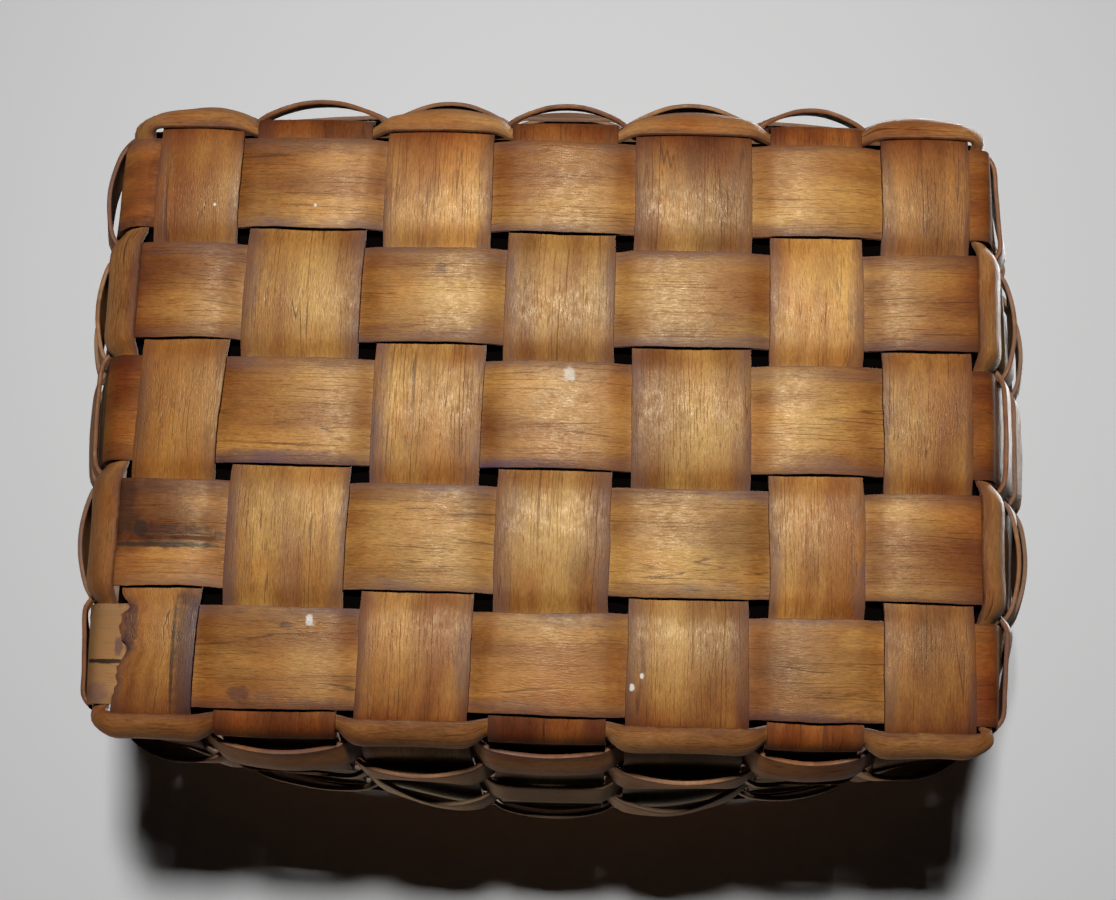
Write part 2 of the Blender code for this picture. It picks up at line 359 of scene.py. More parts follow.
# %% Route of a splint from rim to rim
def splint_rows(kind, index):
    """Stations every half millimetre: edge points, outward normal, place along, fold share."""
    reach = base_half_width if kind == "short" else base_half_length
    middles, widths = (short_middles, short_widths) if kind == "short" else (long_middles, long_widths)
    edges = (middles[index] - widths[index] / 2, middles[index] + widths[index] / 2)
    rows = []
    bottom, top, wall_steps = 0.2 * mm, wall_length - 0.3 * mm, 100
    for side in (-1, 1):
        wall = []
        for count in range(wall_steps + 1):
            distance = bottom + (top - bottom) * count / wall_steps
            low, high = upright_edges((kind, index, side), distance)
            lift = base_height(kind, index, side * reach) - base_middle_height
            lift *= 1 - smooth_step(distance / (2.6 * mm))
            low.z, high.z = low.z + lift, high.z + lift
            normal = upright_normal((kind, index, side), max(distance, 0.5 * mm))
            wall.append((low, high, normal, side * (reach + distance), fold_share(distance)))
        rows.append(wall)
    base = []
    crossings = crossings_of(kind, index)
    base_steps = int(2 * reach / (0.4 * mm))
    for count in range(base_steps + 1):
        place = -reach + 2 * reach * count / base_steps
        height = base_height(kind, index, place)
        low, high = (
            Vector((edge, place, height) if kind == "short" else (place, edge, height)) for edge in edges)
        nearest = min(abs(place - middle) / half for middle, half, outside in crossings if outside)
        # Painted shade with grime where the splint dips under the next strip: its outer tiles darken towards
        # their ends
        dive = 0.3 * min(nearest, 1) ** 6
        base.append((low, high, Vector((0, 0, -1)), place, max(dive, fold_share(abs(place) - reach))))
    return rows[0][::-1] + base + rows[1]


def fold_share(distance):
    """How strongly the fold darkens the wood, by staining and painted shade: most where it turns up at the
    base edge.
    """
    return math.exp(-((distance - 1.6 * mm) / (2.6 * mm)) ** 2)

# %% [markdown]
# ### Cut edges and damage
#
# Each edge wanders a little, as cut by hand. Three splints have more: one is frayed and runs to a
# narrower end, one upright has snapped at the far wall, and one strip has split along its grain.

# %% Make the splints
def cut_edge(place, seed):
    """How far a hand-cut edge wanders, in millimetres."""
    return 0.16 * wobble(place, seed, 6 * mm) + 0.05 * wobble(place, seed, 1.1 * mm)


def raised_between(value, start, end, ramp):
    """1 from start to end, and 0 beyond a ramp at either side."""
    return smooth_step((value - start) / ramp) * (1 - smooth_step((value - end) / ramp))


def make_splint(kind, index, lines=13):
    """One splint with a slight crown across it, hand-cut edges and its damage."""
    seed = index + (0 if kind == "short" else 20)
    rows = splint_rows(kind, index)
    surface = np.empty((len(rows), lines, 3))
    across = np.empty((len(rows), lines))
    for station, (low, high, normal, place, _) in enumerate(rows):
        width = (high - low).length
        side = (high - low).normalized()
        low = low + side * mm * (cut_edge(place, seed) - 0.06)
        high = high + side * mm * (cut_edge(place, seed + 50) + 0.06)
        if (kind, index) == ("short", 6):
            # Tapered towards one end, and frayed at the other
            taper = smooth_step((place / mm + 34) / 68) * (1 - smooth_step((abs(place) / mm - 29) / 12))
            low = low + side * mm * (0.4 * (1 - smooth_step((place / mm + 24) / 28)) - 0.7 * taper)
            threads = 0.45 + 0.8 * wobble(place, 7, 1.9 * mm) + 0.55 * wobble(place, 8, 0.55 * mm)
            high = high - side * mm * (0.35 * taper + raised_between(-place / mm, 18, 27.5, 1.5) * threads)
        for line in range(lines):
            share = line / (lines - 1)
            crown = 0.10 * mm * (1 - (2 * share - 1) ** 2)
            lift = crown + 0.06 * mm * wobble(place + share * width, seed + 90, 9 * mm)
            surface[station, line] = low.lerp(high, share) + normal * (lift - 0.05 * mm)
            across[station, line] = width * (share - 0.5)
    along = np.array([row[3] for row in rows])
    fold = np.array([row[4] for row in rows])
    torn = None
    if (kind, index) == ("short", 5):
        # This upright has snapped at the far wall, and comes back from behind the next weaver
        torn = np.zeros((len(rows), lines), dtype=bool)
        for line in range(lines):
            start = 4.9 + 0.9 * wobble(line * mm, 3, 2.3 * mm) - (0.7 if line < 5 else 0)
            torn[:, line] = (along > base_half_width + mm * start) & (along < base_half_width + 8.6 * mm)
    if (kind, index) == ("long", 1):
        # This one has split along its grain at its +X end, and the split stands open a little
        split = np.array([raised_between(place / mm, 31.5, 45, 2) for place in along])
        surface[:, 6, 1] -= 0.4 * mm * split
        surface[:, 6, 2] += 0.30 * mm * split
        surface[:, :6, 2] -= 0.10 * mm * split[:, None]
    name = f"{kind}_splint_strip_{index + 1}"
    piece = lay_strip(name, surface, along, across, fold, 0.5 * mm, 0.09 * mm, torn=torn)
    return stand_for(piece, f"{kind}_splint_{index + 1}")


splint_strips = {}
for index in range(7):
    splint_strips["short", index] = make_splint("short", index)
for index in range(5):
    splint_strips["long", index] = make_splint("long", index)
print("splints:", {name: len(strip.data.polygons) for name, strip in splint_strips.items()})

# %% [markdown]
# ## Weavers
#
# A weaver is a narrow strip on edge that goes in front of one upright and behind the next. In front
# it springs out in a flat arch, because dry splint won't bend sharply. A weaver could be drawn with a
# few straight stretches as in the CAD model, but its loops are the outline that one sees, so its
# points are carried along a smooth curve through those places.

# %% Smooth curve through places
def passed(low, high, start, end, at):
    """A place on the line that is low at start and high at end."""
    return (low * (end - at) + high * (at - start)) / (end - start)


def smooth_round(stations, fineness):
    """A closed curve through stations, with short steps between: a Catmull-Rom curve."""
    count = len(stations)
    result = []
    for place in range(count):
        before, start, end, after = (stations[(place + step) % count] for step in (-1, 0, 1, 2))
        steps = max(2, int(np.linalg.norm(end - start, axis=-1).max() / fineness))
        knots = [0.0]
        for first, second in ((before, start), (start, end), (end, after)):
            knots.append(knots[-1] + max(np.linalg.norm(second - first, axis=-1).mean(), 1e-6) ** 0.5)
        for step in range(steps):
            at = knots[1] + (knots[2] - knots[1]) * step / steps
            middle = passed(start, end, knots[1], knots[2], at)
            low = passed(passed(before, start, knots[0], knots[1], at), middle, knots[0], knots[2], at)
            high = passed(middle, passed(end, after, knots[2], knots[3], at), knots[1], knots[3], at)
            result.append(passed(low, high, knots[1], knots[2], at))
    result.append(result[0].copy())
    return np.array(result)


# %% Make the weavers
# How far a loop springs out at its lower and at its upper edge, for rows 1 to 8
row_arches = (
    (0.0, 0.05), (0.75, 0.55), (0.95, 0.10), (0.15, 0.75), (0.95, 0.60), (0.75, 0.75), (0.75, 0.75),
    (0.7, 0.7))
front_arches = {3: (0.15, 0.30), 4: (0.95, 0.45)}
back_arches = {0: (0.15, 0.85), 1: (1.35, 1.15), 2: (1.55, 0.70)}
# Uprights whose loops are pulled tight, with the share of the arch that is left
tight_loops = {
    ("long", 0, 1): 0.15, ("long", 2, 1): 0.5,
    ("long", 4, -1): 0.25, ("long", 2, -1): 0.4, ("long", 0, -1): 0.25}


def weaver_stations(row, lines):
    """Places that a weaver passes through: its points across are from the lower to the upper edge."""
    bottom = first_weaver + row_pitch * row - (0.6 * mm if row == 0 else 0)
    levels = [bottom + weaver_width * line / (lines - 1) for line in range(lines)]
    stations = []
    for upright, following in UPRIGHT_PAIRS:
        kind, index, side = upright
        outside = (index + row) % 2 == (0 if kind == "short" else 1)
        offset = (0.56 * mm if row == 0 else weaver_offset) if outside else -weaver_offset
        shares = ((0, 0), (1 / 3, 1), (2 / 3, 1), (1, 0)) if outside else ((0, 0), (1 / 2, 0), (1, 0))
        special = (back_arches if side > 0 else front_arches) if kind == "short" else {}
        lower_arch, upper_arch = special.get(row, row_arches[row])
        extra = 0.25 * wobble(index * 9 * mm, row * 5 + side + len(kind), 7 * mm) if row > 0 else 0
        slack = tight_loops.get(upright, 1.0)
        normal = upright_normal(upright, levels[-1])
        outward = Vector((normal.x, normal.y, 0)).normalized()
        springs = [
            lower_arch + (upper_arch - lower_arch) * line / (lines - 1) + extra for line in range(lines)]
        for share, arch in shares:
            stations.append(np.array([
                on_upright(upright, share, offset, level) + outward * mm * arch * slack * spring
                for level, spring in zip(levels, springs)]))
        stations.append(np.array([between_uprights(upright, following, 0, level) for level in levels]))
    return stations


def measured(surface, width):
    """For a strip of even width: its length up to each station, its places across, and no folds."""
    steps, lines = surface.shape[:2]
    middle = surface[:, lines // 2]
    along = np.concatenate([[0], np.cumsum(np.linalg.norm(np.diff(middle, axis=0), axis=1))])
    return along, np.tile(np.linspace(-0.5, 0.5, lines) * width, (steps, 1)), np.zeros(steps)


def make_weaver(row, lines=7):
    """One round of weaver."""
    surface = smooth_round(weaver_stations(row, lines), 0.55 * mm)
    along, across, fold = measured(surface, weaver_width)
    rounds = [math.sin(place / along[-1] * math.tau) * 60 * mm for place in along]
    surface[:, :, 2] += np.array([0.09 * mm * wobble(place, row + 120, 5 * mm) for place in rounds])[:, None]
    name = f"weaver_strip_{row + 1}"
    piece = lay_strip(name, surface, along, across, fold, 0.46 * mm, 0.09 * mm, closed=True)
    return stand_for(piece, f"weaver_row_{row + 1}")


weaver_strips = [make_weaver(row) for row in range(weaver_rows)]
print("weavers:", [len(strip.data.polygons) for strip in weaver_strips])

# %% [markdown]
# ## Rim
#
# Two thicker hoops hold the upright ends between them, and a thin strip is wound over both. The hoops
# are made like the weavers, but each lies on one side of all uprights. The lashing follows a winding
# route: up the outside on a slant, over the top and down the inside.

# %% Make the hoops
def make_hoop(name, node, offset, lines=7):
    """A rim hoop inside or outside the uprights."""
    stations = []
    levels = [hoop_bottom + hoop_width * line / (lines - 1) for line in range(lines)]
    for upright, following in UPRIGHT_PAIRS:
        for share in (0, 1 / 2, 1):
            stations.append(np.array([on_upright(upright, share, offset, level) for level in levels]))
        stations.append(np.array([between_uprights(upright, following, offset, level) for level in levels]))
    surface = smooth_round(stations, 0.8 * mm)
    piece = lay_strip(name, surface, *measured(surface, hoop_width), hoop_thickness, 0.22 * mm, closed=True)
    return stand_for(piece, node)


inner_hoop = make_hoop("inner_hoop_strip", "inner_rim_hoop", -hoop_offset)
outer_hoop = make_hoop("outer_hoop_strip", "outer_rim_hoop", hoop_offset)
print("hoops:", len(inner_hoop.data.polygons), len(outer_hoop.data.polygons))


# %% Make the lashing
def along_rim(turn, share, offset, distance):
    """A point beside the rim, a share of the way from one gap between uprights to the next."""
    before, upright, after = (UPRIGHTS[(turn + step) % len(UPRIGHTS)] for step in (0, 1, 2))
    stops = (
        between_uprights(before, upright, offset, distance), on_upright(upright, 0, offset, distance),
        on_upright(upright, 1, offset, distance), between_uprights(upright, after, offset, distance))
    place = share * 3
    step = min(int(place), 2)
    return stops[step].lerp(stops[step + 1], place - step)


def make_lashing():
    """One unbroken strip wound round both hoops, a turn for each upright."""
    offset, corner, width, lines = 1.75 * mm, 0.45 * mm, 1.7 * mm, 5
    under = (weavers_top + hoop_bottom) / 2
    over = wall_length + 0.42 * mm
    flank, low, middle, high = offset - corner, under + corner, (under + over) / 2, over - corner
    turn_shape = (
        (0, 0, under), (0, flank, under), (0.02, offset, low), (1 / 3, offset, middle), (0.48, offset, high),
        (0.5, flank, over), (0.5, -flank, over), (0.52, -offset, high), (2 / 3, -offset, middle),
        (0.98, -offset, low), (1, -flank, under))
    stations = []
    for turn in range(len(UPRIGHTS)):
        for share, out, distance in turn_shape:
            place = along_rim(turn, share, out, distance)
            before = along_rim(turn, max(share - 0.05, 0), out, distance)
            after = along_rim(turn, min(share + 0.05, 1), out, distance)
            side = (after - before).normalized() * width / 2
            stations.append(np.array([place + side * (2 * line / (lines - 1) - 1) for line in range(lines)]))
    # The curve closes by itself, but the lashing ends just before its start
    surface = smooth_round(stations, 0.3 * mm)[:-10]
    piece = lay_strip("lashing_strip", surface, *measured(surface, width), 0.35 * mm, 0.08 * mm)
    return stand_for(piece, "rim_lashing")


lashing = make_lashing()
print("lashing:", len(lashing.data.polygons))

# %% [markdown]
# ## Finish: old varnished ash
#
# Close up, the wood has broad honey and brown bands, fine fibres with paler flecks, and short dark
# pores that all run along the strip. The flecks are partly the fibres' tone and partly a painted
# highlight. Hands have darkened its edges. Its folds are darker and redder, by staining and by painted
# shade where the strip turns from the light. An old clear varnish lies over it, uneven enough to break
# the highlights up into specks. Each of these is a node group that every strip uses.

# %% Helpers for nodes
def new_material(name):
    """A material whose nodes the helpers below work in until the next tree is opened."""
    global tree
    material = bpy.data.materials.new(name)
    material.use_nodes = True
    tree = material.node_tree
    return material


def feed(node, inputs):
    """Give a node its inputs, which are values or the outputs of other nodes."""
    for name, value in inputs.items():
        if isinstance(value, bpy.types.NodeSocket):
            tree.links.new(value, node.inputs[name])
        else:
            node.inputs[name].default_value = value
    return node


def put(kind, inputs=None, **settings):
    """Add a shader node to the open tree."""
    node = tree.nodes.new("ShaderNode" + kind)
    for name, value in settings.items():
        setattr(node, name, value)
    return feed(node, inputs or {})


def maths(kind, *inputs):
    """Arithmetic on values."""
    return put("Math", dict(enumerate(inputs)), operation=kind).outputs[0]


def plus(first, second):
    """The sum of two values."""
    return maths("ADD", first, second)


def times(first, second):
    """The product of two values."""
    return maths("MULTIPLY", first, second)


def vectors(kind, *inputs):
    """Arithmetic on vectors."""
    return put("VectorMath", dict(enumerate(inputs)), operation=kind).outputs[0]


def split_up(vector):
    """The three parts of a vector."""
    return put("SeparateXYZ", {0: vector}).outputs


def blend(kind, share, first, second):
    """Mix two colours."""
    return put("Mix", {0: share, 6: first, 7: second}, data_type="RGBA", blend_type=kind).outputs[2]


def limits(value, low, high, to_low=0.0, to_high=1.0):
    """Map a value from one range to another, clamped."""
    return put("MapRange", {"Value": value, 1: low, 2: high, 3: to_low, 4: to_high}).outputs["Result"]


def even_noise(place, scale, roughness, detail=3.0):
    """Noise that is the same in all directions."""
    inputs = {"Vector": place, "Scale": scale, "Detail": detail, "Roughness": roughness}
    return put("TexNoise", inputs).outputs["Fac"]


def fibre_noise(place, along, across, detail, roughness=0.5):
    """Noise that is stretched differently along and across the wood."""
    return even_noise(vectors("MULTIPLY", place, (along, across, 1)), 1.0, roughness, detail)


# %% Helpers for node groups
socket_kinds = {
    **dict.fromkeys(("Place", "Position", "Centre", "Size"), "NodeSocketVector"),
    **dict.fromkeys(("Color", "Pale", "Deep", "Mark colour"), "NodeSocketColor")}


def add_sockets(in_out, labels):
    """Name what goes into the open group, or what comes out of it."""
    for label in labels:
        kind = socket_kinds.get(label, "NodeSocketFloat")
        tree.interface.new_socket(label, in_out=in_out, socket_type=kind)


def new_group(name, *labels):
    """Open a shader node group, and give back the sockets that it is given."""
    global tree
    tree = bpy.data.node_groups.new(name, "ShaderNodeTree")
    add_sockets("INPUT", labels)
    return tree.nodes.new("NodeGroupInput").outputs


def hand_over(**results):
    """Close the open group with its results."""
    add_sockets("OUTPUT", results)
    feed(tree.nodes.new("NodeGroupOutput"), results)
    print(tree.name, "has", len(tree.nodes), "nodes")
    return tree


def use(group, inputs):
    """Add a group to the open tree and give back what it puts out."""
    return put("Group", inputs, node_tree=group).outputs


# %% Group: splint grain
# Bands, silky flecks, growth lines and pores. The flecks are partly the fibres' tone and partly a
# painted highlight. The place is in millimetres along and across.
given = new_group("splint_grain", "Place", "Pale", "Deep")
place = given["Place"]
bands = fibre_noise(place, 0.035, 0.22, 3.0, 0.55)
flecks = fibre_noise(place, 1.5, 7.5, 2.0, 0.75)
dashes = fibre_noise(place, 0.50, 9.0, 1.0, 0.4)
clusters = fibre_noise(place, 0.07, 0.45, 1.0)
threshold = limits(clusters, 0.3, 0.7, 0.70, 0.58)
pores = limits(dashes, threshold, plus(threshold, 0.08))
growth = fibre_noise(place, 0.012, 0.42, 1.5, 0.45)
lines = limits(maths("PINGPONG", times(growth, 13.0), 0.5), 0.060, 0.014)
broken = fibre_noise(place, 0.16, 2.2, 2.0)
lines = times(lines, limits(broken, 0.44, 0.52))
lines = times(lines, limits(clusters, 0.35, 0.60, 0.25, 1.0))
dark = times(maths("MAXIMUM", times(pores, 0.55), lines), 0.85)
tone = blend("MIX", limits(bands, 0.35, 0.64), given["Pale"], given["Deep"])
# Painted highlight with fibre tone: the flecks lighten the colour and whiten it
shade = put("CombineColor", {
    channel: limits(flecks, 0.30, 0.70, low, high)
    for channel, (low, high) in enumerate(((0.78, 1.20), (0.73, 1.26), (0.60, 1.42)))}).outputs[0]
tone = blend("MULTIPLY", 1.0, tone, shade)
tone = blend("MIX", dark, tone, (0.11, 0.036, 0.014, 1))
height = maths("SUBTRACT", times(flecks, 0.6), times(dark, 0.8))
splint_grain = hand_over(Color=tone, Height=height)

# %% Group: handled wood
# Blotches over the whole basket, darker purple-brown edges, red-brown folds that are partly painted
# shade, a base that darkens towards its border, and a weathered grey wall made paler as painted fill light.
given = new_group(
    "wear_and_painted_light", "Color", "Place", "Position", "Edge", "Fold", "Edge amount", "Wall fade and painted fill")
patches = even_noise(given["Position"], 120.0, 0.55)
warm = times(limits(patches, 0.46, 0.62), 0.6)
tone = blend("MULTIPLY", warm, given["Color"], (0.86, 0.62, 0.40, 1))
streaks = fibre_noise(given["Place"], 0.075, 0.16, 4.0, 0.6)
grime = times(limits(streaks, 0.50, 0.72), 0.6)
tone = blend("MULTIPLY", grime, tone, (0.36, 0.28, 0.29, 1))
ragged = fibre_noise(given["Place"], 0.16, 0.9, 3.0, 0.6)
edge = limits(plus(given["Edge"], times(ragged, 0.75)), 1.02, 1.44)
edge = times(edge, given["Edge amount"])
red_or_violet = limits(streaks, 0.45, 0.60)
edge_tone = blend("MIX", red_or_violet, (0.15, 0.062, 0.040, 1), (0.15, 0.085, 0.085, 1))
tone = blend("MIX", edge, tone, edge_tone)
# Folds and the ends where a strip dips under the next go red-brown, by staining and by painted shade
fold = times(given["Fold"], limits(patches, 0.3, 0.6, 0.6, 1.0))
tone = blend("MULTIPLY", fold, tone, (0.58, 0.34, 0.21, 1))
# The base darkens towards its border, 43 mm from its middle one way and 31 mm the other
flat = split_up(vectors("ABSOLUTE", given["Position"]))
border = maths("MAXIMUM", maths("DIVIDE", flat[0], 0.043), maths("DIVIDE", flat[1], 0.031))
border = limits(plus(border, times(streaks, 0.5)), 0.90, 1.26)
border = times(border, limits(flat[2], 0.003, 0.009, 1.0, 0.2))
tone = blend("MULTIPLY", border, tone, (0.78, 0.58, 0.43, 1))
# The middle of the wall is weathered grey, most of all at the front. Its grey is a little paler than
# the wood would be: painted fill light on a shaded wall.
height = plus(flat[2], times(patches, 0.006))
faded_and_painted_fill = times(limits(height, 0.012, 0.020), limits(height, 0.026, 0.038, 1.0, 0.25))
front = split_up(given["Position"])["Y"]
faded_and_painted_fill = times(faded_and_painted_fill, limits(front, -0.031, -0.024, 1.0, 0.5))
faded_and_painted_fill = times(faded_and_painted_fill, given["Wall fade and painted fill"])
tone = blend("MIX", faded_and_painted_fill, tone, (0.30, 0.26, 0.17, 1))
wear_and_painted_light = hand_over(Color=tone, Wear=edge, Faded=faded_and_painted_fill)

# %% Group: old varnish
# Uneven gloss and a fine silky ripple that breaks the highlights into flecks.
given = new_group("old_varnish", "Place", "Position", "Wear", "Faded", "Fold")
ripple = fibre_noise(given["Place"], 1.4, 6.0, 2.0, 0.75)
rough = limits(even_noise(given["Position"], 700.0, 0.6), 0.35, 0.65, 0.37, 0.47)
rough = plus(rough, times(given["Wear"], 0.12))
rough = plus(rough, times(limits(ripple, 0.35, 0.65, -0.5, 0.5), 0.13))
rough = plus(rough, times(given["Faded"], 0.35))
rough = plus(rough, times(given["Fold"], 0.42))
old_varnish = hand_over(Roughness=rough, Height=ripple)

# %% Group: stain spot
# A ragged patch of another colour at one place, for knots, stains, cracks and specks, and for a few
# patches of painted light.
given = new_group("mark_spot", "Color", "Position", "Centre", "Size", "Mark colour", "Strength", "Cover")
away = vectors("SUBTRACT", given["Position"], given["Centre"])
away = vectors("DIVIDE", away, given["Size"])
round_away = put("VectorMath", {0: away}, operation="LENGTH").outputs["Value"]
sides = split_up(vectors("ABSOLUTE", away))
square_away = maths("MAXIMUM", maths("MAXIMUM", sides[0], sides[1]), sides[2])
distance = plus(times(round_away, 0.75), times(square_away, 0.25))
ragged = even_noise(given["Position"], 900.0, 0.65)
shape = even_noise(away, 1.7, 0.7)
distance = plus(distance, times(plus(ragged, shape), 0.9))
mask = times(limits(distance, 1.90, 1.55), given["Strength"])
# A tint shows the grain under it: the wood's colour over its mean, times the mark's colour
grain = vectors("DIVIDE", given["Color"], (0.38, 0.18, 0.045))
seen = vectors("MULTIPLY", grain, given["Mark colour"])
seen = blend("MIX", given["Cover"], seen, given["Mark colour"])
mark_spot = hand_over(Color=blend("MIX", mask, given["Color"], seen))

# %% [markdown]
# ## Marks of this one basket
#
# Knots, stains, cracks, chipped ends and white specks belong to one strip each. A few lighter tints on
# the base are painted light and a painted highlight instead. A mark is a centre, a size, a colour and a
# strength, with its places in millimetres. Some colours cover the wood, and all others only tint it, so
# that its grain goes on through the mark.

# %% Marks by strip
white, black = (0.72, 0.70, 0.64), (0.03, 0.012, 0.008)
broken_wood, grey_wood = (0.44, 0.25, 0.10), (0.36, 0.35, 0.235)
cover_of = {white: 1.0, black: 1.0, broken_wood: 0.65, grey_wood: 0.9}
marks_of = {
    ("short", 2): [
        ((-13.0, -39.0, 33.0), (6.5, 4.5, 6.5), grey_wood, 0.6),
        ((-8.6, -26.2, 0.4), (0.32, 0.40, 1.0), white, 0.9),
        ((-9.5, -25.1, 0.4), (0.22, 0.30, 1.0), white, 0.9)],
    ("short", 4): [((13.0, -38.6, 32.5), (6.5, 4.5, 6.5), grey_wood, 0.6)],
    ("short", 5): [((25.5, -15.5, 0.4), (1.4, 5.0, 1.0), (0.46, 0.27, 0.14), 0.4)],
    ("short", 6): [
        ((38.6, -2.0, 0.4), (6.0, 12.0, 4.0), (0.33, 0.14, 0.026), 0.9),
        ((35.2, -24.5, 0.4), (1.7, 8.0, 4.0), (0.13, 0.065, 0.055), 0.85),
        ((36.7, -24.5, 0.4), (0.22, 7.0, 3.0), black, 0.8),
        ((41.0, -21.5, 0.4), (0.8, 3.0, 3.0), (0.10, 0.045, 0.035), 0.85),
        ((35.1, 21.8, 0.4), (0.18, 0.18, 1.0), white, 0.9)],
    ("long", 0): [
        ((23.3, -20.4, 0.4), (0.45, 0.6, 1.0), white, 0.9),
        ((25.6, -21.0, 0.4), (0.9, 0.4, 1.0), (0.10, 0.045, 0.04), 0.8),
        # A lighter middle tile: painted light, where the lamp lights the base most
        ((0, -24.5, 0.4), (8.0, 5.0, 1.5), (0.49, 0.238, 0.061), 0.8),
        ((26.0, -24.4, 0.4), (8.5, 5.0, 1.5), (0.29, 0.133, 0.036), 0.7),
        ((-26.3, -24.3, 0.4), (8.0, 5.0, 1.5), (0.29, 0.134, 0.038), 0.7),
        ((-25.0, -29.6, 0.4), (10.0, 1.8, 2.0), (0.15, 0.065, 0.045), 0.75),
        ((24.0, -29.5, 0.4), (8.0, 1.5, 2.0), (0.17, 0.07, 0.04), 0.6),
        ((44.2, -24.5, 2.0), (4.0, 8.0, 7.0), broken_wood, 0.85),
        ((43.8, -24.9, 1.5), (3.0, 0.26, 4.0), black, 1.0),
        ((42.3, -23.4, 1.0), (0.5, 1.0, 3.0), (0.14, 0.06, 0.04), 0.8),
        ((44.5, -28.0, 1.0), (1.6, 1.2, 3.0), (0.24, 0.11, 0.05), 0.8),
        ((42.0, -26.5, 1.0), (0.35, 1.4, 3.0), black, 0.8),
        ((30.0, -27.8, 0.4), (1.3, 0.8, 2.0), (0.12, 0.05, 0.05), 0.7)],
    ("long", 1): [
        ((38.5, -16.2, 0.6), (9.0, 3.6, 6.0), (0.54, 0.27, 0.075), 0.9),
        ((41.5, -10.0, 0.6), (7.5, 4.4, 6.0), (0.20, 0.075, 0.022), 0.9),
        ((43.5, -10.0, 0.6), (3.0, 3.6, 6.0), (0.12, 0.042, 0.016), 0.8),
        ((37.0, -12.3, 0.6), (5.5, 1.3, 5.0), (0.10, 0.040, 0.03), 0.8),
        ((40.7, -11.6, 0.4), (0.9, 0.9, 3.0), black, 0.9),
        ((45.0, -10.6, 1.8), (1.5, 3.4, 4.0), broken_wood, 0.9),
        ((38.6, -13.3, 0.5), (8.5, 0.28, 5.0), black, 0.9)],
    ("long", 2): [
        # A lighter tile in the middle of the base: painted light, where the lamp lights it most
        ((-0.4, 0.6, 0.4), (7.5, 5.5, 1.5), (0.45, 0.215, 0.058), 0.8),
        ((27.0, -4.6, 0.4), (9.0, 1.3, 2.0), (0.17, 0.08, 0.055), 0.7),
        ((4.0, -4.8, 0.4), (9.0, 1.0, 2.0), (0.18, 0.09, 0.06), 0.7),
        ((-1.8, 4.7, 0.4), (0.7, 0.9, 1.0), white, 0.5)],
    ("long", 3): [((11.5, 15.5, 0.4), (0.8, 0.7, 1.0), (0.16, 0.06, 0.03), 0.8)],
    ("long", 4): [
        ((44.0, 25.0, 3.0), (3.2, 7.0, 6.0), (0.64, 0.33, 0.10), 0.75),
        # A lighter half of a tile, on the side towards the base's middle: a painted highlight
        ((22.3, 23.9, 0.4), (4.5, 5.0, 1.5), (0.49, 0.243, 0.070), 0.8),
        ((31.0, 28.5, 0.4), (8.0, 2.0, 2.0), (0.20, 0.085, 0.03), 0.6),
        ((24.7, 21.9, 0.4), (0.22, 0.22, 1.0), white, 0.9)],
    ("weaver", 0): [((38.4, 32.2, 3.2), (1.5, 1.6, 1.3), (0.10, 0.20, 0.11), 0.8)]}
print("marks:", sum(len(marks) for marks in marks_of.values()))

# %% [markdown]
# ## One material for each strip
#
# The groups follow each other: the grain in the strip's own two colours, the wear of edges and folds
# with painted shade in the folds and painted fill light on the weathered wall, the marks, and the
# varnish over all. A seed shifts the grain, so that no two strips share theirs.

# %% Material maker
def varnish_strip(strip, name, seed, pale, deep, edge_amount=0.9, gloss=0.45, wall_fade_and_painted_fill=0.7, marks=()):
    """Give a strip its finish, from the four groups."""
    material = new_material(name)
    near_edge, fold, _ = split_up(put("UVMap", uv_map="wear").outputs[0])
    shift = (seed * 31.7, seed * 5.1, seed * 3.3)
    place = vectors("ADD", put("UVMap", uv_map="grain").outputs[0], shift)
    position = put("TexCoord").outputs["Object"]
    grain = use(splint_grain, {"Place": place, "Pale": (*pale, 1), "Deep": (*deep, 1)})
    wear_and_light = use(wear_and_painted_light, {
        "Color": grain["Color"], "Place": place, "Position": position, "Edge": near_edge, "Fold": fold,
        "Edge amount": edge_amount, "Wall fade and painted fill": wall_fade_and_painted_fill})
    varnish = use(old_varnish, {
        "Place": place, "Position": position, "Fold": fold, "Wear": wear_and_light["Wear"],
        "Faded": wear_and_light["Faded"]})
    fibre = put("Bump", {"Height": grain["Height"], "Strength": 0.7, "Distance": 0.035 * mm})
    ripple = put("Bump", {
        "Height": varnish["Height"], "Strength": 0.7, "Distance": 0.03 * mm, "Normal": fibre.outputs[0]})
    tone = wear_and_light["Color"]
    for centre, size, mark_colour, strength in marks:
        tone = use(mark_spot, {
            "Color": tone, "Position": position, "Centre": [edge * mm for edge in centre],
            "Size": [edge * mm for edge in size], "Mark colour": (*mark_colour, 1), "Strength": strength,
            "Cover": cover_of.get(mark_colour, 0.1)})["Color"]
    feed(tree.nodes["Principled BSDF"], {
        "Base Color": tone, "Roughness": varnish["Roughness"], "Normal": ripple.outputs[0],
        "Specular IOR Level": gloss, "Specular Tint": (1.0, 0.86, 0.58, 1)})
    strip.data.materials.clear()
    strip.data.materials.append(material)


# %% Finish the splints
honey, amber = (0.53, 0.274, 0.063), (0.27, 0.097, 0.0175)
tone_of = {"short": (0.89, 1.16, 0.85, 0.88, 1.08, 0.90, 0.96), "long": (1.03, 0.92, 0.99, 0.92, 0.98)}
for (kind, index), strip in splint_strips.items():
    tone = tone_of[kind][index]
    varnish_strip(
        strip, f"{kind}_splint_{index + 1}_wood", index + (1 if kind == "short" else 11),
        [channel * tone for channel in honey], [channel * tone for channel in amber],
        marks=marks_of.get((kind, index), ()))

